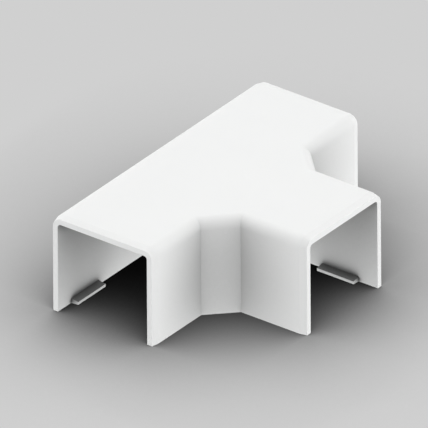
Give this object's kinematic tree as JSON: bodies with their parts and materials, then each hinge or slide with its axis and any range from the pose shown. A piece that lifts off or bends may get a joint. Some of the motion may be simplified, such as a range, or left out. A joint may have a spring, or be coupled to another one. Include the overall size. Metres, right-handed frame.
{
  "type": "trunking tee fitting",
  "caption": "White plastic cover for the tee joint of mini trunking: open underneath and at each arm's mouth, with chamfered inner corners and snap tabs.",
  "frame": {"origin": "on the wall, where the centre lines of the run and of the branch cross, level with the foot of the cover's side walls", "axes": "+Y along the run, +X out along the branch to its mouth, +Z away from the wall"},
  "size_m": [0.0518, 0.075, 0.0238],
  "materials": {
    "cover": "smooth moulded white PVC, satin"
  },
  "bodies": {
    "root": {"tee_cover": "cover"}
  },
  "joints": []
}
